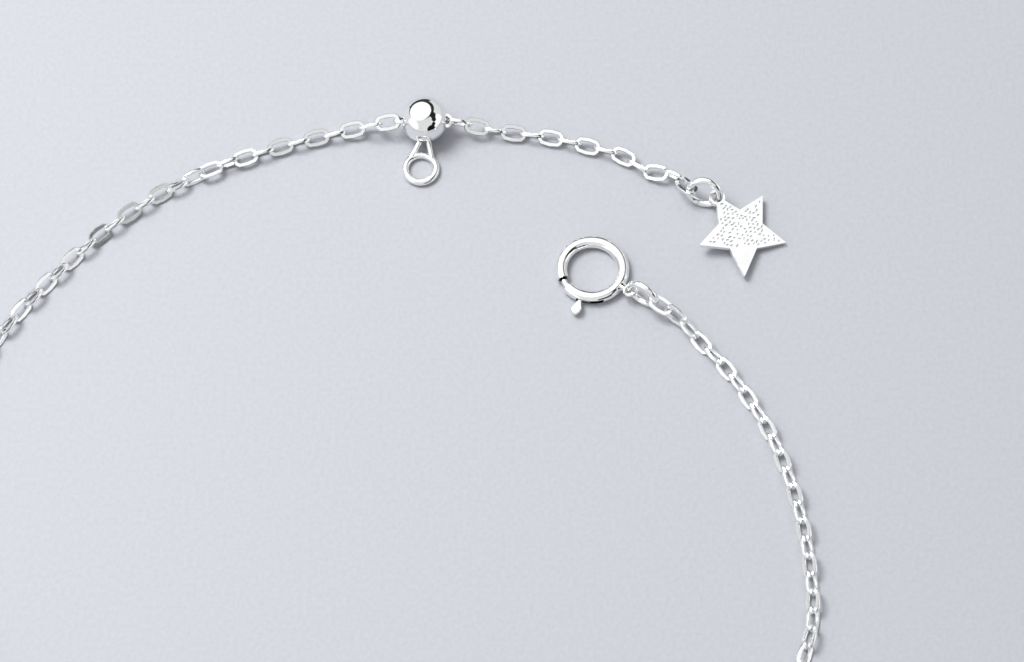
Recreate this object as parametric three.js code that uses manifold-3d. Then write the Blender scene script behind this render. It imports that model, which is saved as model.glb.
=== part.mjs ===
// A silver chain bracelet lying on a table: a cable chain that makes the wrist loop, a drilled
// bead with a soldered ring that the chain runs through, a short free chain with a flat star,
// and a spring ring clasp. Millimetres, +Z up, the table at z = 0.
//
// The places below are measured from a point on the table between the clasp and the bead, with
// +X to the right and +Y away from the viewer. The last lines move the whole to its own centre.
import * as THREE from 'three';
import { mergeVertices } from 'three/addons/utils/BufferGeometryUtils.js';
import Module from 'manifold-3d';

const wasm = await Module();
wasm.setup();
const DEG = Math.PI / 180;

// Cable chain
const PITCH = 1.26; // from one link's centre to the next
const LINK_WIRE = 0.135; // corner radius of the five-sided wire
const LINK_HALF_WIDTH = 0.45; // wire centre, at the middle of the long side
const LINK_SHOULDER = { x: 0.43, y: 0.425 }; // wire centre where the long side ends
const LINK_CROWN = 0.2; // half of the straight crown at each end
const SOLDER_GAP = 0.06; // between two links' crowns, filled by the solder that joins them
const WIRE_SIDES = 5;
const LIE_Z = 0.46; // a link's centre when the chain lies on the table
const LIE_TURN = 45 * DEG; // links lean this way and that in turn
const NEAR_BEAD = { turn: 15 * DEG, from: 16, to: 26 }; // turned a little more, up to these links
const QUARTER_TWIST = { from: 8, to: 17 }; // the links over which the wrist loop twists by 90 degrees
// Extra turn in degrees for the last links at an end, the end link first
const THROUGH_BEAD = [30, 15];
const TO_CLASP = [42.6, 14.8, 8.3];
const TO_STAR = [46.5, 18.3, 4.2];

// Bead, its bore and its soldered ring
const BEAD = { x: -5.94, y: 15.22, z: 1.6, r: 1.6, boreR: 0.68 };
const BEAD_RING = { x: -6.19, y: 12.13, z: 0.27, r: 1.04, wire: 0.24 };
// A leg of the ring: how far aside its foot is, and where its head goes into the ball
const BEAD_LEG = { aside: 0.75, wire: 0.19, headAside: 0.22, headOut: 1.056, headDown: 0.832 };

// Spring ring clasp
const CLASP = { x: 5.38, y: 4.37, z: 0.43, r: 2.08, wire: 0.415, bore: 0.31 };
const TUBE_END = 199.6 + 360; // degrees round the ring, where the tongue's tip rests
const TUBE_MOUTH = 219; // where the tongue comes out of the tube
const BORE_END = 545;
const SLOT = { from: 243.5, to: 287.5, halfHeight: 0.17 };
const TONGUE = { from: 204.5, to: 266, r: 0.2 };
const KNOB = { at: 250, neck: 0.13, neckEnd: 2.78, foot: 2.565, tip: 3.6, halfHeight: 0.19 };
// The knob's outline: how far back from its tip and how far aside, from one wide corner round
const PADDLE = [
  { back: 0.42, aside: -0.37 },
  { back: 0.1, aside: -0.2 },
  { back: 0, aside: 0.02 },
  { back: 0.16, aside: 0.24 },
  { back: 0.5, aside: 0.37 },
];
const LOOP = { at: -33.9, out: 3.08, up: 0.424, r: 0.44, wire: 0.14, rise: 26.3 };
const SOLDER_CONE = { from: 2.36, to: 2.8, up: 0.17, foot: 0.36, tip: 0.14 };

// Rings of round wire, each leaning on the table
const CLASP_RING = { x: 8.73, y: 2.17, z: 1.2, r: 0.99, wire: 0.23, toward: -32, lean: 87.6 };
const STAR_RING = { x: 12.98, y: 9.84, z: 1.2, r: 1.03, wire: 0.245, toward: -12.1, lean: 70.5 };

// Star tag: where its tips point, in degrees, and how far they reach
const STAR = { x: 15.42, y: 7.13, z: 0.6, thick: 0.32, valley: 1.6 };
const BLUNT = { back: 0.22, half: 0.13 }; // the corners of a tip, back from its point
const STAR_TIPS = [
  { at: -88, reach: 3.35 },
  { at: -12.6, reach: 3.05 },
  { at: 61, reach: 3.1 },
  { at: 203, reach: 3.1 },
];
const STAR_TAB = { at: 123.5, hole: 2.92, outer: 0.56, holeR: 0.38, spread: 110 };
const STAR_PITCH = 5.2 * DEG; // the tab end is up on the ring's wire
const STAR_ROLL = 6 * DEG; // and its left side is higher than its right

// The wrist loop's route, from the bead round to the clasp
const LOOP_ROUTE = [
  { x: -5.94, y: 15.22, z: 1.6 },
  { x: -7.45, y: 15.19, z: 1.55 },
  { x: -8.94, y: 15.1, z: 1.22 },
  { x: -10.8, y: 14.93, z: 0.7 },
  { x: -13.12, y: 14.42, z: LIE_Z },
  { x: -15.61, y: 13.72, z: LIE_Z },
  { x: -20.32, y: 11.92, z: LIE_Z },
  { x: -23.71, y: 10.15, z: LIE_Z },
  { x: -27.64, y: 7.05, z: LIE_Z },
  { x: -31.05, y: 3.46, z: LIE_Z },
  { x: -34.2, y: -0.7, z: LIE_Z },
  { x: -36.7, y: -5.6, z: LIE_Z },
  { x: -37.7, y: -11.5, z: LIE_Z },
  { x: -36.6, y: -18.2, z: LIE_Z },
  { x: -32.4, y: -25.2, z: LIE_Z },
  { x: -25.2, y: -30.3, z: LIE_Z },
  { x: -15.8, y: -33.9, z: LIE_Z },
  { x: -6, y: -35.2, z: LIE_Z },
  { x: 3.4, y: -34.4, z: LIE_Z },
  { x: 11.4, y: -31.3, z: LIE_Z },
  { x: 17, y: -26.6, z: LIE_Z },
  { x: 19.2, y: -21.6, z: LIE_Z },
  { x: 19.28, y: -17.27, z: LIE_Z },
  { x: 18.5, y: -12.28, z: LIE_Z },
  { x: 16.86, y: -7.45, z: LIE_Z },
  { x: 14.33, y: -3.15, z: LIE_Z },
  { x: 12.7, y: -1.2, z: LIE_Z },
  { x: 10.96, y: 0.76, z: 0.77 },
  { x: 9.87, y: 1.44, z: 0.98 },
];

// The free chain's route, from the bead to the star's ring
const FREE_ROUTE = [
  { x: -4.89, y: 15.16, z: 1.6 },
  { x: -3.65, y: 15.07, z: 1.42 },
  { x: -2.34, y: 14.97, z: 1.02 },
  { x: -1.1, y: 14.86, z: 0.66 },
  { x: 0.07, y: 14.74, z: 0.5 },
  { x: 2.52, y: 14.4, z: LIE_Z },
  { x: 5.04, y: 13.76, z: LIE_Z },
  { x: 7.48, y: 12.98, z: LIE_Z },
  { x: 9.09, y: 11.87, z: 0.5 },
  { x: 10.97, y: 11.25, z: 0.93 },
  { x: 11.77, y: 10.31, z: 1.17 },
];

const RIGHT_START = 58; // the link at which the second half of the loop begins

// How finely the round shapes are cut: steps round their length, and sides round their section
const FINE = {
  ball: [16, 10],
  bore: 11,
  ring: [14, 5],
  loop: [9, 6],
  tube: [22, 10],
  tubeBore: [17, 6],
  tongue: [7, 8],
  leg: 5,
  cone: 7,
  slot: 5,
  tab: 6,
  hole: 11,
};

function silver(color, roughness) {
  return new THREE.MeshStandardMaterial({ color, roughness, metalness: 1 });
}

function named(name, geometry, material) {
  const mesh = new THREE.Mesh(geometry, material);
  mesh.name = name;
  return mesh;
}

// Booleans

function solidOf(geometry) {
  const bare = geometry.clone();
  bare.deleteAttribute('normal');
  bare.deleteAttribute('uv');
  const merged = mergeVertices(bare, 1e-5);
  return new wasm.Manifold(new wasm.Mesh({
    numProp: 3,
    vertProperties: new Float32Array(merged.attributes.position.array),
    triVerts: new Uint32Array(merged.index.array),
  }));
}

function geometryOf(solid) {
  const mesh = solid.getMesh();
  const geometry = new THREE.BufferGeometry();
  geometry.setAttribute('position', new THREE.BufferAttribute(mesh.vertProperties, 3));
  geometry.setIndex(new THREE.BufferAttribute(mesh.triVerts, 1));
  geometry.computeVertexNormals();
  return geometry;
}

// Chain: each link is a closed ring of ten mitred pieces of five-sided wire

// The link's centre line with the mitre at each corner, in its own plane
function linkCorners() {
  const half = (PITCH + 2 * LINK_WIRE * Math.cos(Math.PI / WIRE_SIDES) + SOLDER_GAP) / 2;
  const upper = [
    [half, LINK_CROWN],
    [LINK_SHOULDER.x, LINK_SHOULDER.y],
    [0, LINK_HALF_WIDTH],
    [-LINK_SHOULDER.x, LINK_SHOULDER.y],
    [-half, LINK_CROWN],
  ];
  const lower = upper.map(([x, y]) => [-x, -y]);
  const points = [lower[4], ...upper, ...lower.slice(0, 4)].map(([x, y]) => new THREE.Vector2(x, y));
  return points.map((point, k) => {
    const before = points.at(k - 1);
    const after = points[(k + 1) % points.length];
    const outBefore = new THREE.Vector2(point.y - before.y, before.x - point.x).normalize();
    const outAfter = new THREE.Vector2(after.y - point.y, point.x - after.x).normalize();
    const mitre = outBefore.clone().add(outAfter).divideScalar(1 + outBefore.dot(outAfter));
    return { point, mitre };
  });
}

const LINK = linkCorners();
const FRONT_CROWN = 0; // the piece of wire from corner 0 to corner 1
const BACK_CROWN = 5; // and the one from corner 5 to corner 6
const INNER_EDGE = 2; // the wire's flat that faces the link's middle

function linkVertices({ centre, along, turn }) {
  const side = new THREE.Vector3(0, 0, 1).cross(along).normalize();
  const up = along.clone().cross(side).normalize();
  const normal = up.multiplyScalar(Math.cos(turn)).addScaledVector(side, Math.sin(turn));
  const across = normal.clone().cross(along);
  const vertices = [];
  for (const { point, mitre } of LINK) {
    for (let j = 0; j < WIRE_SIDES; j += 1) {
      const angle = (2 * Math.PI * j) / WIRE_SIDES;
      const out = LINK_WIRE * Math.cos(angle);
      vertices.push(centre.clone()
        .addScaledVector(along, point.x + out * mitre.x)
        .addScaledVector(across, point.y + out * mitre.y)
        .addScaledVector(normal, LINK_WIRE * Math.sin(angle)));
    }
  }
  return vertices;
}

// The four corners of a piece's inner flat, in the order of its face
function innerFlat(piece) {
  const next = ((piece + 1) % LINK.length) * WIRE_SIDES;
  const here = piece * WIRE_SIDES;
  return [here + INNER_EDGE, next + INNER_EDGE, next + INNER_EDGE + 1, here + INNER_EDGE + 1];
}

function linkFaces(base, solderedFront, solderedBack) {
  const faces = [];
  for (let piece = 0; piece < LINK.length; piece += 1) {
    const here = base + piece * WIRE_SIDES;
    const next = base + ((piece + 1) % LINK.length) * WIRE_SIDES;
    for (let j = 0; j < WIRE_SIDES; j += 1) {
      const open = (piece === FRONT_CROWN && solderedFront) || (piece === BACK_CROWN && solderedBack);
      if (open && j === INNER_EDGE) continue;
      const k = (j + 1) % WIRE_SIDES;
      faces.push([here + j, next + j, next + k], [here + j, next + k, here + k]);
    }
  }
  return faces;
}

// The solder between two crowns: four walls from one inner flat to the other
function solderFaces(vertices, baseA, baseB) {
  const a = innerFlat(FRONT_CROWN).map((i) => baseA + i);
  const b = innerFlat(BACK_CROWN).map((i) => baseB + i);
  const partner = (start, k) => b[(start - k + 4) % 4];
  const length = (start) => a.reduce((sum, i, k) => (
    sum + vertices[i].distanceToSquared(vertices[partner(start, k)])), 0);
  const start = [0, 1, 2, 3].reduce((best, s) => (length(s) < length(best) ? s : best), 0);
  const faces = [];
  for (let k = 0; k < 4; k += 1) {
    const next = (k + 1) % 4;
    faces.push([a[k], a[next], partner(start, next)], [a[k], partner(start, next), partner(start, k)]);
  }
  return faces;
}

function chainGeometry(links) {
  const vertices = links.flatMap(linkVertices);
  const size = LINK.length * WIRE_SIDES;
  const faces = links.flatMap((link, i) => linkFaces(i * size, i < links.length - 1, i > 0));
  for (let i = 0; i < links.length - 1; i += 1) {
    faces.push(...solderFaces(vertices, i * size, (i + 1) * size));
  }
  const geometry = new THREE.BufferGeometry().setFromPoints(vertices);
  geometry.setIndex(faces.flat());
  geometry.computeVertexNormals();
  return geometry;
}

// Links at even steps along a smooth route. A link's turn is its lean about the route.
function linksAlong(route, turnOf) {
  const curve = new THREE.CatmullRomCurve3(route.map(({ x, y, z }) => new THREE.Vector3(x, y, z)));
  curve.arcLengthDivisions = 3000;
  const steps = Math.round(curve.getLength() / PITCH);
  return Array.from({ length: steps + 1 }, (_, i) => {
    const turn = turnOf(i, steps);
    const centre = curve.getPointAt(i / steps);
    centre.z = Math.max(centre.z, lyingHeight(turn));
    return { centre, along: curve.getTangentAt(i / steps), turn };
  });
}

// How high a lying link's centre is, where its neighbours stand square to it
function lyingHeight(turn) {
  const steepest = Math.max(Math.abs(Math.sin(turn)), Math.abs(Math.cos(turn)));
  return LINK_HALF_WIDTH * steepest + LINK_WIRE;
}

function smooth(from, to, value) {
  return THREE.MathUtils.smoothstep(value, from, to);
}

// On the wrist loop every second link leans to the viewer. Near the bead the chain is turned a
// little more, and a quarter twist further on makes the other links the ones that lean so.
function loopTurn(i, last) {
  const lean = i % 2 === 0 ? LIE_TURN : -LIE_TURN;
  const nearBead = -NEAR_BEAD.turn * (1 - smooth(NEAR_BEAD.from, NEAR_BEAD.to, i));
  const quarter = -90 * DEG * smooth(QUARTER_TWIST.from, QUARTER_TWIST.to, i);
  const ends = (THROUGH_BEAD[i] ?? 0) + (TO_CLASP[last - i] ?? 0);
  return lean + nearBead + quarter + ends * DEG;
}

// The free chain is turned the same way near the bead, and twists on to the star's ring
function freeTurn(i, last) {
  const lean = i % 2 === 0 ? -LIE_TURN : LIE_TURN;
  const ends = (THROUGH_BEAD[i] ?? 0) + (TO_STAR[last - i] ?? 0);
  return lean + NEAR_BEAD.turn + ends * DEG;
}

// Rings and tubes of round wire

function ringGeometry({ r, wire }, [steps, sides]) {
  return new THREE.TorusGeometry(r, wire, sides, steps);
}

// A bent rod: a round section swept through an arc about Z, with flat ends
function arcRod(radius, wire, from, to, [steps, sides]) {
  const section = new THREE.Shape();
  for (let j = 0; j < sides; j += 1) {
    const angle = (2 * Math.PI * (j + 0.5)) / sides;
    const point = [wire * Math.cos(angle), wire * Math.sin(angle)];
    if (j === 0) section.moveTo(...point);
    else section.lineTo(...point);
  }
  const rod = new THREE.ExtrudeGeometry(section, { depth: 1, steps, bevelEnabled: false });
  const place = rod.attributes.position;
  for (let i = 0; i < place.count; i += 1) {
    const reach = radius + place.getX(i);
    const angle = (to + (from - to) * place.getZ(i)) * DEG;
    place.setXYZ(i, reach * Math.cos(angle), reach * Math.sin(angle), place.getY(i));
  }
  return rod;
}

// A leaning wire ring: "toward" is the level way through its centre, and it leans up from there
function leaningRing(ring) {
  const geometry = ringGeometry(ring, FINE.ring);
  geometry.rotateX(ring.lean * DEG);
  geometry.rotateZ(ring.toward * DEG);
  return geometry;
}

function rodBetween(a, b, wire, sides) {
  const way = b.clone().sub(a);
  const rod = new THREE.CylinderGeometry(wire, wire, way.length(), sides);
  const turn = new THREE.Quaternion().setFromUnitVectors(new THREE.Vector3(0, 1, 0), way.normalize());
  rod.applyQuaternion(turn);
  rod.translate(...a.clone().add(b).multiplyScalar(0.5).toArray());
  return rod;
}

// Stopper bead: a ball with a bore along X, and a ring on two short legs in front of it

function beadBall() {
  const ball = new THREE.SphereGeometry(BEAD.r, ...FINE.ball);
  ball.rotateX(Math.PI / 2);
  const bore = new THREE.CylinderGeometry(BEAD.boreR, BEAD.boreR, 3 * BEAD.r, FINE.bore);
  bore.rotateZ(Math.PI / 2);
  return solidOf(ball).subtract(solidOf(bore));
}

function stopperBead() {
  const ringPlace = new THREE.Vector3(BEAD_RING.x, BEAD_RING.y, BEAD_RING.z)
    .sub(new THREE.Vector3(BEAD.x, BEAD.y, BEAD.z));
  const ring = ringGeometry(BEAD_RING, FINE.ring);
  ring.translate(...ringPlace.toArray());
  let solid = beadBall().add(solidOf(ring));
  const reach = Math.sqrt(BEAD_RING.r ** 2 - BEAD_LEG.aside ** 2);
  for (const sign of [-1, 1]) {
    const foot = ringPlace.clone().add(new THREE.Vector3(sign * BEAD_LEG.aside, reach, 0));
    const head = new THREE.Vector3(sign * BEAD_LEG.headAside, -BEAD_LEG.headOut, -BEAD_LEG.headDown);
    solid = solid.add(solidOf(rodBetween(foot, head, BEAD_LEG.wire, FINE.leg)));
  }
  const mesh = named('stopper_bead', geometryOf(solid), silver('#d4d7db', 0.08));
  mesh.position.set(BEAD.x, BEAD.y, BEAD.z);
  return mesh;
}

// Clasp: a hollow tube bent round, a slot in its outer wall for the knob, and a soldered loop

function claspTube() {
  const outer = arcRod(CLASP.r, CLASP.wire, TUBE_MOUTH, TUBE_END, FINE.tube);
  const bore = arcRod(CLASP.r, CLASP.bore, TUBE_MOUTH - 1, BORE_END, FINE.tubeBore);
  const soldered = solidOf(outer).add(solidOf(claspLoop())).add(solidOf(solderCone()));
  const tube = soldered.subtract(solidOf(bore)).subtract(slotCutter());
  const mesh = named('clasp_tube', geometryOf(tube), silver('#d9dbde', 0.12));
  mesh.position.set(CLASP.x, CLASP.y, CLASP.z);
  return mesh;
}

// The loop's outer side is up, and a cone of solder holds it to the tube
function claspLoop() {
  const loop = ringGeometry(LOOP, FINE.loop);
  loop.rotateY(-LOOP.rise * DEG);
  loop.translate(LOOP.out, 0, LOOP.up);
  loop.rotateZ(LOOP.at * DEG);
  return loop;
}

function solderCone() {
  const { from, to, up, foot, tip } = SOLDER_CONE;
  const cone = new THREE.CylinderGeometry(tip, foot, to - from, FINE.cone);
  cone.rotateZ(-90 * DEG);
  cone.translate((from + to) / 2, 0, up);
  cone.rotateZ(LOOP.at * DEG);
  return cone;
}

function slotCutter() {
  const shape = new THREE.Shape();
  const inside = CLASP.r + 0.1;
  const outside = CLASP.r + CLASP.wire + 0.2;
  const angles = Array.from({ length: FINE.slot + 1 }, (_, i) => (
    (SLOT.from + ((SLOT.to - SLOT.from) * i) / FINE.slot) * DEG));
  const arc = (radius) => angles.map((a) => new THREE.Vector2(radius * Math.cos(a), radius * Math.sin(a)));
  shape.setFromPoints([...arc(inside), ...arc(outside).reverse()]);
  const cutter = new THREE.ExtrudeGeometry(shape, { depth: 2 * SLOT.halfHeight, bevelEnabled: false });
  cutter.translate(0, 0, -SLOT.halfHeight);
  return solidOf(cutter);
}

// The tongue that slides in the tube, with its neck and the knob outside
function claspTrigger() {
  const tongue = arcRod(CLASP.r, TONGUE.r, TONGUE.from, TONGUE.to, FINE.tongue);
  const neck = new THREE.BoxGeometry(KNOB.neckEnd - CLASP.r, 2 * KNOB.neck, 2 * KNOB.neck);
  neck.translate((KNOB.neckEnd + CLASP.r) / 2, 0, 0);
  neck.rotateZ(KNOB.at * DEG);
  const paddle = new THREE.Shape([
    new THREE.Vector2(KNOB.foot, -KNOB.neck),
    ...PADDLE.map(({ back, aside }) => new THREE.Vector2(KNOB.tip - back, aside)),
    new THREE.Vector2(KNOB.foot, KNOB.neck),
  ]);
  const plate = new THREE.ExtrudeGeometry(paddle, { depth: 2 * KNOB.halfHeight, bevelEnabled: false });
  plate.translate(0, 0, -KNOB.halfHeight);
  plate.rotateZ(KNOB.at * DEG);
  const trigger = solidOf(tongue).add(solidOf(neck)).add(solidOf(plate));
  const mesh = named('clasp_trigger', geometryOf(trigger), silver('#dcdee0', 0.15));
  mesh.position.set(CLASP.x, CLASP.y, CLASP.z);
  return mesh;
}

// Star: straight-sided arms with blunt tips, and a pierced round tab in place of the fifth tip

function starOutline() {
  const arms = [...STAR_TIPS, { at: STAR_TAB.at, tab: true }].sort((p, q) => p.at - q.at);
  const shape = new THREE.Shape();
  const polar = (reach, at, aside = 0) => [
    reach * Math.cos(at * DEG) - aside * Math.sin(at * DEG),
    reach * Math.sin(at * DEG) + aside * Math.cos(at * DEG),
  ];
  const points = arms.flatMap((arm, k) => {
    const nextAt = k + 1 < arms.length ? arms[k + 1].at : arms[0].at + 360;
    const valley = polar(STAR.valley, (arm.at + nextAt) / 2);
    if (!arm.tab) {
      const corner = (side) => polar(arm.reach - BLUNT.back, arm.at, side * BLUNT.half);
      return [corner(-1), polar(arm.reach, arm.at), corner(1), valley];
    }
    const round = Array.from({ length: FINE.tab + 1 }, (_, i) => {
      const turn = STAR_TAB.spread * ((2 * i) / FINE.tab - 1) * DEG;
      return polar(STAR_TAB.hole + STAR_TAB.outer * Math.cos(turn), arm.at, STAR_TAB.outer * Math.sin(turn));
    });
    return [...round, valley];
  });
  points.forEach(([x, y], i) => (i === 0 ? shape.moveTo(x, y) : shape.lineTo(x, y)));
  shape.closePath();
  const [holeX, holeY] = polar(STAR_TAB.hole, STAR_TAB.at);
  shape.holes.push(new THREE.Path().absarc(holeX, holeY, STAR_TAB.holeR, 0, 2 * Math.PI, true));
  return shape;
}

function starTag() {
  const plate = new THREE.ExtrudeGeometry(starOutline(), {
    depth: STAR.thick, bevelEnabled: false, curveSegments: FINE.hole,
  });
  plate.translate(0, 0, -STAR.thick / 2);
  const mesh = named('star_tag', geometryOf(solidOf(plate)), silver('#dfe0e2', 0.3));
  const tabWay = new THREE.Vector3(Math.cos(STAR_TAB.at * DEG), Math.sin(STAR_TAB.at * DEG), 0);
  const acrossWay = new THREE.Vector3(-tabWay.y, tabWay.x, 0);
  mesh.rotateOnWorldAxis(tabWay, STAR_ROLL);
  mesh.rotateOnWorldAxis(acrossWay, -STAR_PITCH);
  mesh.position.set(STAR.x, STAR.y, STAR.z);
  return mesh;
}

function jumpRing(name, ring) {
  const mesh = named(name, geometryOf(solidOf(leaningRing(ring))), silver('#d6d8db', 0.12));
  mesh.position.set(ring.x, ring.y, ring.z);
  return mesh;
}

const bracelet = new THREE.Group();
const loopLinks = linksAlong(LOOP_ROUTE, loopTurn);
const freeLinks = linksAlong(FREE_ROUTE, freeTurn);
bracelet.add(
  named('main_chain_left', chainGeometry(loopLinks.slice(0, RIGHT_START)), silver('#d8dadd', 0.2)),
  named('main_chain_right', chainGeometry(loopLinks.slice(RIGHT_START)), silver('#d8dadd', 0.2)),
  named('extender_chain', chainGeometry(freeLinks), silver('#d8dadd', 0.2)),
  stopperBead(),
  claspTube(),
  claspTrigger(),
  jumpRing('clasp_jump_ring', CLASP_RING),
  jumpRing('star_jump_ring', STAR_RING),
  starTag(),
);

// The origin is under the middle of the whole, on the table
bracelet.updateMatrixWorld(true);
const whole = new THREE.Box3().setFromObject(bracelet, true);
const middle = whole.getCenter(new THREE.Vector3());
bracelet.position.set(-middle.x, -middle.y, -whole.min.z);

export default bracelet;
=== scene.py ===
import math
from random import Random

import bpy
from mathutils import Matrix, Vector


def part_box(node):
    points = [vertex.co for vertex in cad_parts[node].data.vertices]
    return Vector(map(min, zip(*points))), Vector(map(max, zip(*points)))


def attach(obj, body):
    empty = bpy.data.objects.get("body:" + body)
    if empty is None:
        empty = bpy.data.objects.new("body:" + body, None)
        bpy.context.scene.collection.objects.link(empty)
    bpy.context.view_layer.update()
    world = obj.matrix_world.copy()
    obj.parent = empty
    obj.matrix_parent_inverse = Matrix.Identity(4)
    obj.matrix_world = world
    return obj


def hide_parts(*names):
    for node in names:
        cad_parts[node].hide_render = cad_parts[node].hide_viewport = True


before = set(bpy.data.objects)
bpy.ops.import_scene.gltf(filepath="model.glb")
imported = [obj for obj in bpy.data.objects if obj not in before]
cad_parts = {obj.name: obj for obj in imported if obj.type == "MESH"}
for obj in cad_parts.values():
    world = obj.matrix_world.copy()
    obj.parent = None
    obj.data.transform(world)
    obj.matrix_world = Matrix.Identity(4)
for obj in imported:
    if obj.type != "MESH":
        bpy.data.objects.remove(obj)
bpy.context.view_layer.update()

# Lengths are in millimetres and angles in degrees while a piece is modelled. Its place is measured
# from a point on the table between the clasp and the bead, and settle() then brings it to the
# frame, in metres.
MM = 0.001

# Camera and picture
CAMERA_ELEVATION = 64.0
CAMERA_DISTANCE = 270.0
FOCAL_PIXELS = 4050.0
PICTURE_WIDTH = 1024.0
SENSOR_WIDTH = 36.0
NEAREST_SEEN = 10.0
FURTHEST_SEEN = 5000.0

# Bead: its ball, the bore along X, the ring and the two legs, whose heads are measured from the
# ball's centre
BEAD_AT = Vector((-5.94, 15.22, 1.6))
BEAD_R = 1.6
BEAD_BORE_R = 0.66
BORE_EDGE_ROUND = 0.04
BEAD_RING_AT = Vector((-6.19, 12.13, 0.27))
BEAD_RING_R = 1.04
BEAD_RING_WIRE = 0.24
LEG_FOOT_ASIDE = 0.75
LEG_HEAD = Vector((0.22, -1.056, -0.832))
LEG_WIRE = 0.19

# Clasp: the tube is bent round CLASP_AT, and its angles are bearings from there
CLASP_AT = Vector((5.38, 4.37, 0.43))
TUBE_R = 2.08
TUBE_WIRE = 0.415
TUBE_WALL = 0.11
TUBE_END = 199.6
TUBE_MOUTH = 219.6
SLOT_FROM = 243.5
SLOT_TO = 287.5
SLOT_HALF_HEIGHT = 0.17
SLOT_INSIDE = TUBE_R + 0.1
SLOT_OUTSIDE = TUBE_R + TUBE_WIRE + 0.2
LOOP_AT = -33.9
LOOP_OUT = 3.08
LOOP_UP = 0.424
LOOP_R = 0.44
LOOP_WIRE = 0.14
LOOP_RISE = 26.3

# Solder cone: how much it widens at each step from its tip, and how much more it spreads sideways
CONE_FROM = 2.3
CONE_TO = 2.8
CONE_UP = 0.17
CONE_TIP_R = 0.13
CONE_GROWS = (1.25, 1.3, 1.45)
CONE_SPREADS = 1.25

# Trigger: the tongue, and its knob, as the length, widening and heightening of each step outward
TONGUE_R = 0.2
TONGUE_FROM = 204.5
TONGUE_TO = 265.0
KNOB_AT = 250.0
NECK_SIDE = 0.26
NECK_TO = TUBE_R + TUBE_WIRE + 0.07
KNOB_STEPS = ((0.5, 2.6, 1.4), (0.28, 0.82, 1.0), (0.2, 0.4, 0.8))
KNOB_ROUND = 0.05

# Jump rings: the bearing and lean of each, and where round it the butt joint is
CLASP_RING = dict(at=(8.73, 2.17, 1.2), r=0.99, wire=0.23, toward=-32.0, lean=87.6, joint=200.0)
STAR_RING = dict(at=(12.98, 9.84, 1.2), r=1.03, wire=0.245, toward=-12.1, lean=70.5, joint=250.0)
RING_JOINT = 0.03

# Star: the bearing and reach of each arm, and the pierced tab in the place of the fifth
STAR_AT = Vector((15.42, 7.13, 0.6))
STAR_THICK = 0.32
STAR_VALLEY = 1.6
STAR_ARMS = ((-88.0, 3.42), (-12.6, 3.12), (61.0, 3.17), (203.0, 3.17))
STAR_PITCH = 5.2
STAR_ROLL = 6.0
ARM_TIPS_PAST = 2.5
ARM_TIP_ROUND = 0.12
STAR_EDGE_ROUND = 0.035
TAB_AT = 123.5
TAB_HOLE = 2.92
TAB_REACH = TAB_HOLE + 0.2
TAB_OUTER = 0.56
TAB_HOLE_R = 0.38

# Punch marks on the star's face: slanting rows of small long dents, struck by hand
MARK_SIZE = (0.12, 0.05, 0.07)
MARK_STEP = 0.36
MARK_STRAY = 0.09
ROW_STEP = 0.25
ROW_STRAY = 0.05
ROW_WAY = 48.0
MARK_SWING = 35
MARK_STRETCH = (0.6, 1.2)
MARKS_MISSED = 0.12
MARK_MARGIN = 0.17
MARKS_ABOVE_Y = -1.15
ROWS_EACH_WAY = 14
MARKS_EACH_WAY = 12
MARK_SEED = 4

# Chain: one link, the wire of the solids' links, which settles how high they lie, and how a link
# leans about the chain's run, with its extra turn in degrees by its count from each end
PITCH = 1.26
LINK_HALF_WIDTH = 0.45
LINK_HALF_LENGTH = 0.769
LINK_WIRE = 0.152
LINK_FLAT = 0.104
CAD_WIRE = 0.135
LIE_Z = 0.46
LEAN = 45
LEAN_NEAR_BEAD = 15
THROUGH_BEAD = {0: 30, 1: 15}
TO_CLASP = {0: 42.6, 1: 14.8, 2: 8.3}
TO_STAR = {0: 46.5, 1: 18.3, 2: 4.2}
SETTLED = 8
SETTLED_VARIES = 4
SETTLED_WAVE = 2.4
ROUTE_SAMPLES = 4000

# The links of the wrist loop, counted from the bead, over which each turn comes or goes
QUARTER_COMES = (8, 17)
LEANS_EVENLY = (16, 26)
SETTLED_COMES = (14, 22)
SETTLED_GOES = (50, 60)

# The chain's way, as x, y and z: the wrist loop from the bead round to the clasp's ring, and the
# free chain from the bead to the star's ring. The loop's right half starts at link RIGHT_START.
LOOP_ROUTE = (
    (-5.94, 15.22, 1.6), (-7.45, 15.19, 1.55), (-8.94, 15.1, 1.22), (-10.8, 14.93, 0.7),
    (-13.12, 14.42, LIE_Z), (-15.61, 13.72, LIE_Z), (-20.32, 11.92, LIE_Z), (-23.71, 10.15, LIE_Z),
    (-27.64, 7.05, LIE_Z), (-31.05, 3.46, LIE_Z), (-34.2, -0.7, LIE_Z), (-36.7, -5.6, LIE_Z),
    (-37.7, -11.5, LIE_Z), (-36.6, -18.2, LIE_Z), (-32.4, -25.2, LIE_Z), (-25.2, -30.3, LIE_Z),
    (-15.8, -33.9, LIE_Z), (-6, -35.2, LIE_Z), (3.4, -34.4, LIE_Z), (11.4, -31.3, LIE_Z),
    (17, -26.6, LIE_Z), (19.2, -21.6, LIE_Z), (19.28, -17.27, LIE_Z), (18.5, -12.28, LIE_Z),
    (16.86, -7.45, LIE_Z), (14.33, -3.15, LIE_Z), (12.7, -1.2, LIE_Z), (10.96, 0.76, 0.77),
    (9.87, 1.44, 0.98),
)
FREE_ROUTE = (
    (-4.89, 15.16, 1.6), (-3.65, 15.07, 1.42), (-2.34, 14.97, 1.02), (-1.1, 14.86, 0.66),
    (0.07, 14.74, 0.5), (2.52, 14.4, LIE_Z), (5.04, 13.76, LIE_Z), (7.48, 12.98, LIE_Z),
    (9.09, 11.87, 0.5), (10.97, 11.25, 0.93), (11.77, 10.31, 1.17),
)
RIGHT_START = 58

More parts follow.
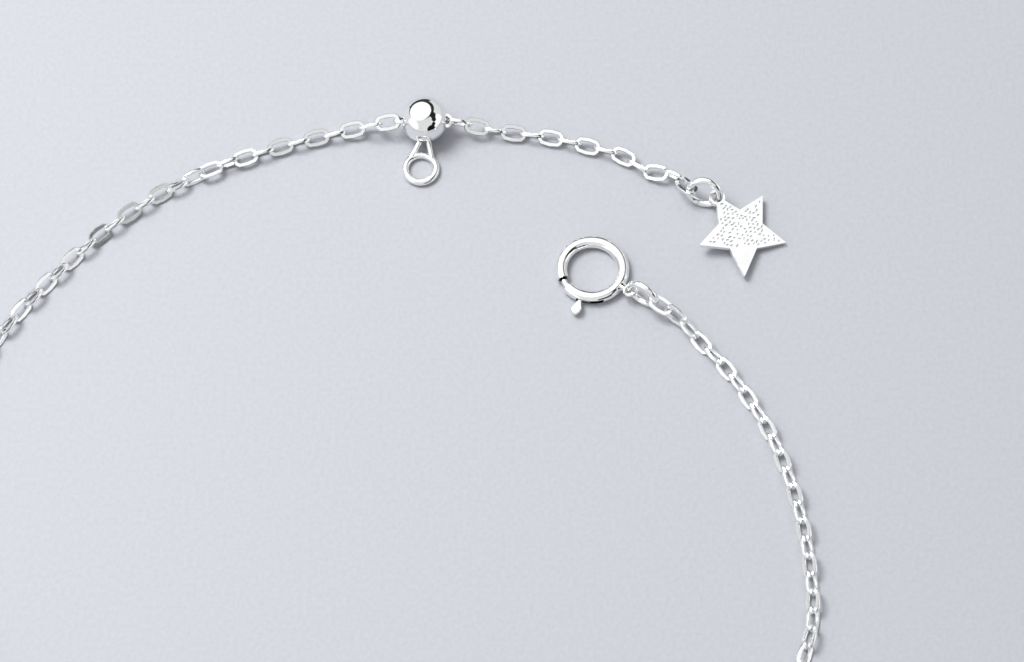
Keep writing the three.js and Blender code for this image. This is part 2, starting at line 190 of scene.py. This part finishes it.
# Sides of the round shapes: round the ring, then round its wire
LINK_SIDES = (12, 8)
BALL_SIDES = (72, 48)
BEAD_RING_SIDES = (64, 20)
LEG_SIDES = 24
TUBE_SIDES = (180, 32)
TONGUE_SIDES = (180, 20)
LOOP_SIDES = (40, 16)
CONE_SIDES = 32
JUMP_RING_SIDES = (72, 20)
TAB_SIDES = 64
MARK_SIDES = (8, 4)
SLOT_STEPS = 16
ROUND_STEPS = 3
TIP_STEPS = 5

# How many degrees an edge turns through before it stays sharp in the shading, and before the star's
# edges get their bevel
CHAIN_SHARP = 50
RING_SHARP = 60
STAR_SHARP = 30
STAR_BEVELLED = 50
METAL_SHARP = 35

# How near a point is to count as there, and to be merged
NEAR = 1e-4
MERGED = 1e-5

# The studio: which way each patch of wall, gap or lamp is, how wide its full strength and its soft
# edge reach in degrees, and its strength. Each patch is painted over those before it.
WALLS = 0.78
STUDIO_TINT = (0.98, 0.99, 1.0, 1)
STUDIO = (
    ((-0.83, -0.54, 0.15), 20, 34, 1.2),  # white panel in front, to the left
    ((-0.25, 0.42, 0.87), 55, 58, 0.03),  # dark surround of the soft box overhead
    ((-0.3, 0.95, 0.0), 30, 36, 0.05),  # dark wall behind
    ((0.9, -0.32, 0.2), 30, 34, 1.12),  # white panel to the right
    ((0.64, -0.02, 0.75), 14, 17, 0.02),  # dark gap beside that panel, from the top down
    ((0.73, -0.3, 0.6), 10, 13, 0.02),
    ((0.7, -0.6, 0.38), 8, 11, 0.02),
    ((0.5, -0.84, 0.12), 16, 20, 0.01),
    ((-0.34, 0.29, 0.895), 49, 50.5, 1.14),  # soft box overhead
)

# The lamp and the table, in metres
LAMP_AT = Vector((-0.12, 0.09, 0.27))
LAMP_WIDTH = 0.16
LAMP_WATTS = 1.05
TABLE_SIZE = 1.6

# Surfaces: the clouding of the silver's polish, the grain of the silver, and the table's card
CLOUD_SCALE = 900.0
CLOUD_DETAIL = 3.0
CLOUD_DIMS = 0.93
CLOUD_LEVELS = (0.35, 0.6)
GRAIN_DETAIL = 2.0
GRAIN_STRENGTH = 0.5
CARD_ROUGHNESS = 0.6
CARD_DARK = (0.338, 0.347, 0.376)
CARD_LIGHT = (0.362, 0.371, 0.402)
CARD_LEVELS = (0.3, 0.7)
CARD_GRAIN = 3200.0
CARD_DETAIL = 3.0
CARD_DEPTH = 0.00004

# The table point in the frame, from the bead's box: its ball is as wide as the box and reaches
# furthest back.
bead_low, bead_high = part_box("stopper_bead")
TABLE_POINT = Vector((
    (bead_low[0] + bead_high[0]) / 2 / MM - BEAD_AT.x,
    bead_high[1] / MM - BEAD_R - BEAD_AT.y,
    0.0,
))
TO_FRAME = Matrix.Scale(MM, 4) @ Matrix.Translation(TABLE_POINT)


# Camera: looks at the table point from the front and above

def set_camera():
    elevation = math.radians(CAMERA_ELEVATION)
    data = bpy.data.cameras.new("camera")
    data.sensor_width = SENSOR_WIDTH
    data.lens = SENSOR_WIDTH * FOCAL_PIXELS / PICTURE_WIDTH
    data.clip_start = NEAREST_SEEN * MM
    data.clip_end = FURTHEST_SEEN * MM
    camera = bpy.data.objects.new("camera", data)
    bpy.context.collection.objects.link(camera)
    away = Vector((0, -math.cos(elevation), math.sin(elevation))) * CAMERA_DISTANCE
    camera.location = (TABLE_POINT + away) * MM
    camera.rotation_euler = (math.pi / 2 - elevation, 0, 0)
    bpy.context.scene.camera = camera


# Small helpers for modelling by hand

def deselect():
    bpy.ops.object.select_all(action="DESELECT")


def pick(obj):
    deselect()
    obj.select_set(True)
    bpy.context.view_layer.objects.active = obj


def mode(name):
    bpy.ops.object.mode_set(mode=name)


def select_mesh():
    mode("EDIT")
    bpy.ops.mesh.select_all(action="SELECT")


def choose(obj, kind, test):
    """Selects the vertices, edges or faces of obj, in edit mode, whose middle passes the test."""
    mode("EDIT")
    bpy.ops.mesh.select_mode(type=kind)
    bpy.ops.mesh.select_all(action="DESELECT")
    mode("OBJECT")
    mesh = obj.data
    if kind == "VERT":
        for vertex in mesh.vertices:
            vertex.select = test(vertex.co)
    elif kind == "FACE":
        for face in mesh.polygons:
            face.select = test(face.center)
    else:
        for edge in mesh.edges:
            a, b = (mesh.vertices[i].co for i in edge.vertices)
            edge.select = test((a + b) / 2)
    mode("EDIT")


def turned(degrees, axis):
    return Matrix.Rotation(math.radians(degrees), 4, axis)


def bearing(point):
    return math.degrees(math.atan2(point.y, point.x)) % 360


def polar(reach, degrees):
    angle = math.radians(degrees)
    return Vector((reach * math.cos(angle), reach * math.sin(angle), 0.0))


def outward(obj):
    pick(obj)
    select_mesh()
    bpy.ops.mesh.remove_doubles(threshold=MERGED)
    bpy.ops.mesh.normals_make_consistent(inside=False)
    mode("OBJECT")


def apply_modifier(obj, kind, **settings):
    pick(obj)
    modifier = obj.modifiers.new(kind.lower(), kind)
    for key, value in settings.items():
        setattr(modifier, key, value)
    bpy.ops.object.modifier_apply(modifier=modifier.name)


def boolean(obj, tool, operation, **settings):
    apply_modifier(obj, "BOOLEAN", operation=operation, object=tool, solver="EXACT", **settings)
    bpy.data.objects.remove(tool, do_unlink=True)
    pick(obj)


def smooth(obj, degrees):
    pick(obj)
    bpy.ops.object.shade_smooth_by_angle(angle=math.radians(degrees))


def apply_place():
    bpy.ops.object.transform_apply(location=True, rotation=True, scale=True)


def settle(obj, matrix):
    """Puts a piece where it belongs in the frame, with its place in its mesh."""
    pick(obj)
    obj.matrix_world = TO_FRAME @ matrix
    apply_place()


def join(objects, name):
    deselect()
    for obj in objects:
        obj.select_set(True)
    bpy.context.view_layer.objects.active = objects[0]
    bpy.ops.object.join()
    objects[0].name = name
    return objects[0]


def copy_to(obj, matrix):
    """A copy with its own mesh."""
    copy = obj.copy()
    copy.data = obj.data.copy()
    bpy.context.collection.objects.link(copy)
    copy.matrix_world = matrix
    return copy


def new_torus(name, radius, wire, sides):
    around, section = sides
    deselect()
    bpy.ops.mesh.primitive_torus_add(
        major_segments=around, minor_segments=section, major_radius=radius, minor_radius=wire)
    obj = bpy.context.object
    obj.name = name
    return obj


# Chain route: the same smooth curve through the route's points as the solids follow

def hermite(a, b, slope_a, slope_b, t):
    return ((2 * t ** 3 - 3 * t ** 2 + 1) * a + (t ** 3 - 2 * t ** 2 + t) * slope_a
            + (3 * t ** 2 - 2 * t ** 3) * b + (t ** 3 - t ** 2) * slope_b)


def curve_point(points, t):
    """A centripetal Catmull-Rom curve, whose ends run on straight."""
    place = min(max(t, 0.0), 1.0) * (len(points) - 1)
    k = min(int(place), len(points) - 2)
    p1, p2 = points[k], points[k + 1]
    p0 = points[k - 1] if k > 0 else 2 * p1 - p2
    p3 = points[k + 2] if k + 2 < len(points) else 2 * p2 - p1
    d0 = math.sqrt((p1 - p0).length)
    d1 = math.sqrt((p2 - p1).length)
    d2 = math.sqrt((p3 - p2).length)
    slope_1 = ((p1 - p0) / d0 - (p2 - p0) / (d0 + d1) + (p2 - p1) / d1) * d1
    slope_2 = ((p2 - p1) / d1 - (p3 - p1) / (d1 + d2) + (p3 - p2) / d2) * d1
    return hermite(p1, p2, slope_1, slope_2, place - k)


def ramp(low, high, value):
    t = min(max((value - low) / (high - low), 0.0), 1.0)
    return t * t * (3 - 2 * t)


def loop_turn(i, last):
    """How far link i of the wrist loop is turned about the chain's run.

    Neighbours lean to opposite sides. Past the bead the chain makes a quarter turn and comes to
    lean evenly, along the left it has settled a little further over, and its last links turn to
    the clasp's ring.
    """
    lean = LEAN if i % 2 == 0 else -LEAN
    near_bead = -LEAN_NEAR_BEAD * (1 - ramp(*LEANS_EVENLY, i))
    quarter = -90 * ramp(*QUARTER_COMES, i)
    settled = SETTLED + SETTLED_VARIES * math.sin(SETTLED_WAVE * i)
    settled *= ramp(*SETTLED_COMES, i) * (1 - ramp(*SETTLED_GOES, i))
    ends = THROUGH_BEAD.get(i, 0) + TO_CLASP.get(last - i, 0)
    return math.radians(lean + near_bead + quarter + ends + settled)


def free_turn(i, last):
    """How far link i of the free chain is turned about the chain's run."""
    lean = -LEAN if i % 2 == 0 else LEAN
    ends = THROUGH_BEAD.get(i, 0) + TO_STAR.get(last - i, 0)
    return math.radians(lean + LEAN_NEAR_BEAD + ends)


def link_places(route, turn_of):
    """One matrix for each link: X along the chain and Z square to the link's flat side."""
    points = [Vector(row) for row in route]
    line = [curve_point(points, k / ROUTE_SAMPLES) for k in range(ROUTE_SAMPLES + 1)]
    reach = [0.0]
    for a, b in zip(line, line[1:]):
        reach.append(reach[-1] + (b - a).length)
    last = round(reach[-1] / PITCH)
    places = []
    k = 0
    for i in range(last + 1):
        goal = reach[-1] * i / last
        while k < ROUTE_SAMPLES - 1 and reach[k + 1] < goal:
            k += 1
        part = (goal - reach[k]) / (reach[k + 1] - reach[k])
        centre = line[k].lerp(line[k + 1], part)
        along = (line[k + 1] - line[k]).normalized()
        turn = turn_of(i, last)
        # However a link leans, it stays on the table.
        steepest = max(abs(math.sin(turn)), abs(math.cos(turn)))
        centre.z = max(centre.z, LINK_HALF_WIDTH * steepest + CAD_WIRE)
        side = Vector((0, 0, 1)).cross(along).normalized()
        up = along.cross(side).normalized()
        normal = up * math.cos(turn) + side * math.sin(turn)
        across = normal.cross(along)
        places.append(Matrix((
            (along.x, across.x, normal.x, centre.x),
            (along.y, across.y, normal.y, centre.y),
            (along.z, across.z, normal.z, centre.z),
            (0, 0, 0, 1))))
    return places


# Chain link: a ring of round wire pulled long, with a flat cut on each side

def model_link():
    link = new_torus("link", LINK_HALF_WIDTH, LINK_WIRE, LINK_SIDES)
    straight = LINK_HALF_LENGTH - LINK_HALF_WIDTH
    for sign in (1, -1):
        choose(link, "VERT", lambda co: co.x * sign > NEAR)
        bpy.ops.transform.translate(value=(sign * straight, 0, 0))
        mode("OBJECT")
    for sign in (1, -1):
        choose(link, "VERT", lambda co: co.z * sign > LINK_FLAT)
        bpy.ops.transform.resize(value=(1, 1, 0), center_override=(0, 0, sign * LINK_FLAT))
        mode("OBJECT")
    return link


def chain(name, link, places):
    piece = join([copy_to(link, TO_FRAME @ place) for place in places], name)
    apply_place()
    smooth(piece, CHAIN_SHARP)
    return piece


def model_chains():
    """The left and right halves of the wrist loop, and the free chain."""
    link = model_link()
    loop = link_places(LOOP_ROUTE, loop_turn)
    free = link_places(FREE_ROUTE, free_turn)
    chains = (
        chain("chain_left_links", link, loop[:RIGHT_START]),
        chain("chain_right_links", link, loop[RIGHT_START:]),
        chain("free_chain_links", link, free),
    )
    bpy.data.objects.remove(link, do_unlink=True)
    return chains


# Bead: a ball with a bore along X, and its ring on two short legs

def model_bead():
    segments, rings = BALL_SIDES
    deselect()
    bpy.ops.mesh.primitive_uv_sphere_add(segments=segments, ring_count=rings, radius=BEAD_R)
    ball = bpy.context.object
    ball.rotation_euler = (0, math.pi / 2, 0)
    apply_place()
    # The ball is cut off at both mouths of its bore, and the bore then joins the two cuts.
    mouth = math.sqrt(BEAD_R ** 2 - BEAD_BORE_R ** 2)
    for sign in (1, -1):
        select_mesh()
        bpy.ops.mesh.bisect(plane_co=(sign * mouth, 0, 0), plane_no=(sign, 0, 0), clear_outer=True,
                            threshold=MERGED)
        mode("OBJECT")
    choose(ball, "EDGE", lambda co: abs(co.x) > mouth - NEAR)
    bpy.ops.mesh.bridge_edge_loops()
    mode("OBJECT")
    choose(ball, "EDGE", lambda co: abs(co.x) > mouth - NEAR)
    bpy.ops.mesh.bevel(offset=BORE_EDGE_ROUND, segments=ROUND_STEPS, affect="EDGES")
    mode("OBJECT")
    outward(ball)
    ring = new_torus("bead_ring", BEAD_RING_R, BEAD_RING_WIRE, BEAD_RING_SIDES)
    ring.location = BEAD_RING_AT - BEAD_AT
    apply_place()
    boolean(ball, ring, "UNION")
    for sign in (1, -1):
        boolean(ball, model_leg(sign), "UNION")
    ball.name = "bead_and_ring"
    smooth(ball, METAL_SHARP)
    settle(ball, Matrix.Translation(BEAD_AT))
    return ball


def model_leg(sign):
    """A leg of wire from the ring to the ball."""
    aside = LEG_FOOT_ASIDE * sign
    offset = BEAD_RING_AT - BEAD_AT
    foot = offset + Vector((aside, math.sqrt(BEAD_RING_R ** 2 - aside ** 2), 0))
    head = Vector((LEG_HEAD.x * sign, LEG_HEAD.y, LEG_HEAD.z))
    deselect()
    bpy.ops.mesh.primitive_cylinder_add(vertices=LEG_SIDES, radius=LEG_WIRE,
                                        depth=(head - foot).length)
    leg = bpy.context.object
    leg.rotation_mode = "QUATERNION"
    leg.rotation_quaternion = Vector((0, 0, 1)).rotation_difference((head - foot).normalized())
    leg.location = (head + foot) / 2
    apply_place()
    return leg


# Clasp: a hollow tube bent round, with a slot in its outer wall and a soldered loop

def model_clasp_tube(polished, shaded_bore):
    tube = new_torus("clasp_ring_tube", TUBE_R, TUBE_WIRE, TUBE_SIDES)
    # The tube's second material is silver painted nearly black, as painted shade for its hollow
    # inside.
    paint(tube, polished, shaded_bore)
    # Turned so that one of its cross-sections falls on the tube's end
    one_step = 360 / TUBE_SIDES[0]
    tube.rotation_euler = (0, 0, math.radians(TUBE_END % one_step))
    apply_place()
    choose(tube, "FACE", lambda co: TUBE_END < bearing(co) < TUBE_MOUTH)
    bpy.ops.mesh.delete(type="FACE")
    mode("OBJECT")
    # The inside wall takes the second material: silver painted nearly black, as painted shade
    # inside the hollow tube.
    apply_modifier(tube, "SOLIDIFY", thickness=TUBE_WALL, offset=-1, material_offset=1)
    boolean(tube, slot_cutter(), "DIFFERENCE")
    loop = new_torus("loop", LOOP_R, LOOP_WIRE, LOOP_SIDES)
    turn = turned(LOOP_AT, "Z")
    loop.matrix_world = turn @ Matrix.Translation((LOOP_OUT, 0, LOOP_UP)) @ turned(-LOOP_RISE, "Y")
    apply_place()
    boolean(tube, solder_cone(turn), "UNION")
    boolean(tube, loop, "UNION")
    smooth(tube, METAL_SHARP)
    settle(tube, Matrix.Translation(CLASP_AT))
    return tube


def solder_cone(turn):
    """Solder drawn up from the tube to the loop, wide where it meets the tube."""
    deselect()
    bpy.ops.mesh.primitive_cylinder_add(vertices=CONE_SIDES, radius=CONE_TIP_R,
                                        depth=CONE_TO - CONE_FROM)
    cone = bpy.context.object
    cone.rotation_euler = (0, math.pi / 2, 0)
    cone.location = ((CONE_FROM + CONE_TO) / 2, 0, CONE_UP)
    apply_place()
    centre = (CONE_FROM, 0, CONE_UP)
    for steps, grow in enumerate(CONE_GROWS, start=1):
        at = CONE_TO - steps * (CONE_TO - CONE_FROM) / len(CONE_GROWS)
        select_mesh()
        bpy.ops.mesh.bisect(plane_co=(at, 0, 0), plane_no=(1, 0, 0))
        mode("OBJECT")
        choose(cone, "VERT", lambda co: co.x < at + NEAR)
        bpy.ops.transform.resize(value=(1, grow * CONE_SPREADS, grow), center_override=centre)
        mode("OBJECT")
    cone.matrix_world = turn
    apply_place()
    outward(cone)
    return cone


def slot_cutter():
    """A curved block, spun round the ring's axis."""
    deselect()
    bpy.ops.mesh.primitive_plane_add(size=1)
    cutter = bpy.context.object
    middle = Matrix.Translation(((SLOT_INSIDE + SLOT_OUTSIDE) / 2, 0, 0))
    size = Matrix.Diagonal((SLOT_OUTSIDE - SLOT_INSIDE, 2 * SLOT_HALF_HEIGHT, 1, 1))
    cutter.matrix_world = turned(SLOT_FROM, "Z") @ middle @ turned(90, "X") @ size
    apply_place()
    select_mesh()
    bpy.ops.mesh.spin(steps=SLOT_STEPS, angle=-math.radians(SLOT_TO - SLOT_FROM), center=(0, 0, 0),
                      axis=(0, 0, 1))
    mode("OBJECT")
    outward(cutter)
    return cutter


def model_trigger():
    tongue = new_torus("clasp_tongue", TUBE_R, TONGUE_R, TONGUE_SIDES)
    choose(tongue, "FACE", lambda co: not TONGUE_FROM < bearing(co) < TONGUE_TO)
    bpy.ops.mesh.delete(type="FACE")
    select_mesh()
    bpy.ops.mesh.fill_holes(sides=0)
    mode("OBJECT")
    outward(tongue)
    boolean(tongue, model_knob(), "UNION")
    tongue.name = "clasp_tongue_and_knob"
    smooth(tongue, METAL_SHARP)
    settle(tongue, Matrix.Translation(CLASP_AT))
    return tongue


def model_knob():
    """The neck, and a paddle that widens outward and ends in a blunt point."""
    deselect()
    bpy.ops.mesh.primitive_cube_add(size=1)
    knob = bpy.context.object
    knob.scale = (NECK_TO - TUBE_R, NECK_SIDE, NECK_SIDE)
    knob.location = ((NECK_TO + TUBE_R) / 2, 0, 0)
    apply_place()
    for length, widen, heighten in KNOB_STEPS:
        choose(knob, "FACE", lambda co: co.x > max(v.co.x for v in knob.data.vertices) - NEAR)
        bpy.ops.mesh.extrude_region_move(TRANSFORM_OT_translate={"value": (length, 0, 0)})
        bpy.ops.transform.resize(value=(1, widen, heighten))
        mode("OBJECT")
    apply_modifier(knob, "BEVEL", width=KNOB_ROUND, segments=ROUND_STEPS)
    knob.rotation_euler = (0, 0, math.radians(KNOB_AT))
    apply_place()
    outward(knob)
    return knob


# Jump rings: a ring of wire with its butt joint, whose two faces nearly touch

def model_jump_ring(name, ring):
    obj = new_torus(name, ring["r"], ring["wire"], JUMP_RING_SIDES)
    deselect()
    bpy.ops.mesh.primitive_cube_add(size=1)
    saw = bpy.context.object
    past_wire = 4 * ring["wire"]
    size = Matrix.Diagonal((past_wire, RING_JOINT, past_wire, 1))
    saw.matrix_world = turned(ring["joint"], "Z") @ Matrix.Translation((ring["r"], 0, 0)) @ size
    apply_place()
    boolean(obj, saw, "DIFFERENCE")
    smooth(obj, RING_SHARP)
    lie = turned(ring["toward"], "Z") @ turned(ring["lean"], "X")
    settle(obj, Matrix.Translation(ring["at"]) @ lie)
    return obj


# Star: a ten-cornered disc drawn out to five arms, cut from sheet, with a pierced tab

def star_corners():
    arms = sorted(STAR_ARMS + ((TAB_AT, TAB_REACH),))
    corners = []
    for k, (degrees, reach) in enumerate(arms):
        following = arms[k + 1][0] if k + 1 < len(arms) else arms[0][0] + 360
        corners.append(polar(reach, degrees))
        corners.append(polar(STAR_VALLEY, (degrees + following) / 2))
    return corners


def model_star(satin, dent):
    corners = star_corners()
    star = star_plate(corners)
    paint(star, satin)
    boolean(star, tab_disc(TAB_OUTER, STAR_THICK), "UNION")
    boolean(star, tab_disc(TAB_HOLE_R, 2 * STAR_THICK), "DIFFERENCE")
    apply_modifier(star, "BEVEL", width=STAR_EDGE_ROUND, segments=ROUND_STEPS, limit_method="ANGLE",
                   angle_limit=math.radians(STAR_BEVELLED))
    marks = punch_marks(corners)
    # The dents are painted a darker grey silver than the star's face.
    paint(marks, dent)
    boolean(star, marks, "DIFFERENCE", material_mode="TRANSFER")
    star.name = "star"
    smooth(star, STAR_SHARP)
    apply_modifier(star, "WEIGHTED_NORMAL", keep_sharp=True)
    roll = turned(STAR_ROLL, polar(1, TAB_AT))
    pitch = turned(-STAR_PITCH, polar(1, TAB_AT + 90))
    settle(star, Matrix.Translation(STAR_AT) @ pitch @ roll)
    return star


def star_plate(corners):
    """The plate of the star, its arm tips slightly blunt."""
    deselect()
    bpy.ops.mesh.primitive_circle_add(vertices=len(corners), radius=STAR_VALLEY, fill_type="NGON")
    plate = bpy.context.object
    vertices = plate.data.vertices
    start = bearing(corners[0])
    order = sorted(range(len(corners)), key=lambda i: (bearing(vertices[i].co) - start) % 360)
    for index, corner in zip(order, corners):
        vertices[index].co = corner
    select_mesh()
    bpy.ops.mesh.extrude_region_move(TRANSFORM_OT_translate={"value": (0, 0, STAR_THICK)})
    bpy.ops.mesh.select_all(action="SELECT")
    bpy.ops.transform.translate(value=(0, 0, -STAR_THICK / 2))
    mode("OBJECT")
    outward(plate)
    choose(plate, "EDGE", lambda co: abs(co.z) < NEAR and co.length > ARM_TIPS_PAST)
    bpy.ops.mesh.bevel(offset=ARM_TIP_ROUND, segments=TIP_STEPS, affect="EDGES")
    mode("OBJECT")
    return plate


def tab_disc(radius, depth):
    deselect()
    bpy.ops.mesh.primitive_cylinder_add(vertices=TAB_SIDES, radius=radius, depth=depth,
                                        location=polar(TAB_HOLE, TAB_AT))
    return bpy.context.object


def inside(point, corners, margin):
    """True where a point is inside the outline and at least margin from every side."""
    crossed = False
    for a, b in zip(corners, corners[1:] + corners[:1]):
        side = b - a
        part = max(0.0, min(1.0, (point - a).dot(side) / side.length_squared))
        if (a + part * side - point).length < margin:
            return False
        if (a.y > point.y) != (b.y > point.y):
            if point.x < a.x + (point.y - a.y) / (b.y - a.y) * side.x:
                crossed = not crossed
    return crossed


def punch_marks(corners):
    """All the dents of the star's face, as one cutter."""
    segments, rings = MARK_SIDES
    deselect()
    bpy.ops.mesh.primitive_uv_sphere_add(segments=segments, ring_count=rings, radius=1)
    mark = bpy.context.object
    mark.scale = MARK_SIZE
    apply_place()
    hole = polar(TAB_HOLE, TAB_AT)
    face = Matrix.Translation((0, 0, STAR_THICK / 2))
    random = Random(MARK_SEED)
    marks = []
    for row in range(-ROWS_EACH_WAY, ROWS_EACH_WAY + 1):
        for step in range(-MARKS_EACH_WAY, MARKS_EACH_WAY + 1):
            half_step = 0.5 * (row % 2)
            along = MARK_STEP * (step + half_step) + random.uniform(-MARK_STRAY, MARK_STRAY)
            across = ROW_STEP * row + random.uniform(-ROW_STRAY, ROW_STRAY)
            turn = ROW_WAY + random.uniform(-MARK_SWING, MARK_SWING)
            stretch = random.uniform(*MARK_STRETCH)
            missed = random.random() < MARKS_MISSED
            place = polar(along, ROW_WAY) + polar(across, ROW_WAY + 90)
            smooth_arm = place.y < MARKS_ABOVE_Y
            near_hole = (place - hole).length < TAB_OUTER
            if missed or smooth_arm or near_hole or not inside(place, corners, MARK_MARGIN):
                continue
            size = Matrix.Diagonal((stretch, 1, stretch, 1))
            matrix = Matrix.Translation(place) @ face @ turned(turn, "Z") @ size
            marks.append(copy_to(mark, matrix))
    bpy.data.objects.remove(mark, do_unlink=True)
    cutter = join(marks, "punch_marks")
    apply_place()
    return cutter


# Materials

def node_material(name):
    material = bpy.data.materials.new(name)
    material.use_nodes = True
    nodes = material.node_tree.nodes
    return material, nodes, material.node_tree.links, nodes["Principled BSDF"]


def noise(nodes, links, scale, detail):
    """A noise pattern that lies fast on the piece."""
    place = nodes.new("ShaderNodeTexCoord")
    pattern = nodes.new("ShaderNodeTexNoise")
    pattern.inputs["Scale"].default_value = scale
    pattern.inputs["Detail"].default_value = detail
    links.new(place.outputs["Object"], pattern.inputs["Vector"])
    return pattern.outputs["Fac"]


def two_tones(nodes, links, pattern, shader, dark, light, levels):
    """The shader's colour, from dark to light between two levels of the pattern."""
    tone = nodes.new("ShaderNodeValToRGB")
    low, high = tone.color_ramp.elements
    low.position, high.position = levels
    low.color = (*dark, 1)
    high.color = (*light, 1)
    links.new(pattern, tone.inputs["Fac"])
    links.new(tone.outputs["Color"], shader.inputs["Base Color"])


def raise_grain(nodes, links, pattern, shader, depth):
    bump = nodes.new("ShaderNodeBump")
    bump.inputs["Strength"].default_value = GRAIN_STRENGTH
    bump.inputs["Distance"].default_value = depth
    links.new(pattern, bump.inputs["Height"])
    links.new(bump.outputs["Normal"], shader.inputs["Normal"])


def silver(name, tint, rough, grain, depth):
    """Silver: faint clouding of its polish, and a fine grain from the cloth."""
    material, nodes, links, shader = node_material(name)
    shader.inputs["Metallic"].default_value = 1.0
    cloud = noise(nodes, links, CLOUD_SCALE, CLOUD_DETAIL)
    polish = nodes.new("ShaderNodeMapRange")
    polish.inputs["To Min"].default_value = rough[0]
    polish.inputs["To Max"].default_value = rough[1]
    links.new(cloud, polish.inputs["Value"])
    links.new(polish.outputs["Result"], shader.inputs["Roughness"])
    clouded = tuple(CLOUD_DIMS * c for c in tint)
    two_tones(nodes, links, cloud, shader, clouded, tint, CLOUD_LEVELS)
    raise_grain(nodes, links, noise(nodes, links, grain, GRAIN_DETAIL), shader, depth)
    return material


def table_card():
    """Pale blue-grey card with a faint grain."""
    material, nodes, links, shader = node_material("table_card")
    shader.inputs["Roughness"].default_value = CARD_ROUGHNESS
    grain = noise(nodes, links, CARD_GRAIN, CARD_DETAIL)
    two_tones(nodes, links, grain, shader, CARD_DARK, CARD_LIGHT, CARD_LEVELS)
    raise_grain(nodes, links, grain, shader, CARD_DEPTH)
    return material


def paint(piece, *materials):
    for material in materials:
        piece.data.materials.append(material)


# Stage and light

def set_table():
    deselect()
    bpy.ops.mesh.primitive_plane_add(size=TABLE_SIZE, location=(0, 0, 0))
    table = bpy.context.object
    table.name = "table"
    paint(table, table_card())


def paint_studio():
    """The walls, panels and soft box that the silver mirrors."""
    world = bpy.data.worlds.new("studio")
    world.use_nodes = True
    bpy.context.scene.world = world
    nodes = world.node_tree.nodes
    links = world.node_tree.links
    way = nodes.new("ShaderNodeTexCoord")
    light = None
    for direction, inner, outer, strength in STUDIO:
        facing = nodes.new("ShaderNodeVectorMath")
        facing.operation = "DOT_PRODUCT"
        links.new(way.outputs["Generated"], facing.inputs[0])
        facing.inputs[1].default_value = Vector(direction).normalized()
        edge = nodes.new("ShaderNodeMapRange")
        edge.interpolation_type = "SMOOTHSTEP"
        edge.inputs["From Min"].default_value = math.cos(math.radians(outer))
        edge.inputs["From Max"].default_value = math.cos(math.radians(inner))
        links.new(facing.outputs["Value"], edge.inputs["Value"])
        mix = nodes.new("ShaderNodeMix")
        links.new(edge.outputs["Result"], mix.inputs["Factor"])
        mix.inputs["A"].default_value = WALLS
        if light:
            links.new(light.outputs["Result"], mix.inputs["A"])
        mix.inputs["B"].default_value = strength
        light = mix
    links.new(light.outputs["Result"], nodes["Background"].inputs["Strength"])
    nodes["Background"].inputs["Color"].default_value = STUDIO_TINT


def hang_lamp():
    """The lamp behind the soft box, which throws the shadows to the lower right."""
    data = bpy.data.lights.new("lamp", "AREA")
    data.shape = "DISK"
    data.size = LAMP_WIDTH
    data.energy = LAMP_WATTS
    lamp = bpy.data.objects.new("lamp", data)
    lamp.location = LAMP_AT
    lamp.rotation_euler = Vector((0, 0, -1)).rotation_difference(-LAMP_AT).to_euler()
    bpy.context.collection.objects.link(lamp)


set_camera()
set_table()
bpy.context.scene.view_settings.view_transform = "Standard"
paint_studio()
hang_lamp()

# Each silver: its tint, its roughness from and to, how fine its grain is, and the grain's depth
chain_silver = silver("chain_silver", (0.97, 0.97, 0.965), (0.14, 0.24), 9000.0, 0.000004)
ball_silver = silver("ball_silver", (0.95, 0.95, 0.945), (0.03, 0.08), 6000.0, 0.000001)
clasp_silver = silver("clasp_silver", (0.95, 0.95, 0.945), (0.05, 0.12), 7000.0, 0.000002)
ring_silver = silver("ring_silver", (0.955, 0.955, 0.95), (0.06, 0.14), 8000.0, 0.000002)
star_silver = silver("star_silver", (0.95, 0.95, 0.945), (0.2, 0.28), 8000.0, 0.000006)
# Darker grey silver that the star's punched dents are painted with
dent_silver = silver("dent_silver", (0.5, 0.5, 0.51), (0.35, 0.45), 8000.0, 0.000006)
# Silver painted nearly black, as painted shade inside the clasp's hollow tube
bore_shade_silver = silver("bore_shade_silver", (0.16, 0.155, 0.15), (0.45, 0.6), 7000.0, 0.000004)

chain_left, chain_right, chain_free = model_chains()
bead = model_bead()
clasp_tube = model_clasp_tube(clasp_silver, bore_shade_silver)
trigger = model_trigger()
clasp_ring = model_jump_ring("clasp_ring_wire", CLASP_RING)
star_ring = model_jump_ring("star_ring_wire", STAR_RING)
star = model_star(star_silver, dent_silver)

for piece in (chain_left, chain_right, chain_free):
    paint(piece, chain_silver)
for piece in (clasp_ring, star_ring):
    paint(piece, ring_silver)
paint(bead, ball_silver)
paint(trigger, clasp_silver)

# Each piece: the node that it replaces, its body and its material slot
pieces = (
    (chain_left, "main_chain_left", "bracelet", "chain_silver"),
    (chain_right, "main_chain_right", "bracelet", "chain_silver"),
    (chain_free, "extender_chain", "bracelet", "chain_silver"),
    (bead, "stopper_bead", "bracelet", "polished_silver"),
    (clasp_tube, "clasp_tube", "bracelet", "clasp_silver"),
    (trigger, "clasp_trigger", "trigger", "clasp_silver"),
    (clasp_ring, "clasp_jump_ring", "bracelet", "ring_silver"),
    (star_ring, "star_jump_ring", "bracelet", "ring_silver"),
    (star, "star_tag", "bracelet", "star_silver"),
)
for piece, node, body, slot in pieces:
    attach(piece, body)
    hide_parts(node)
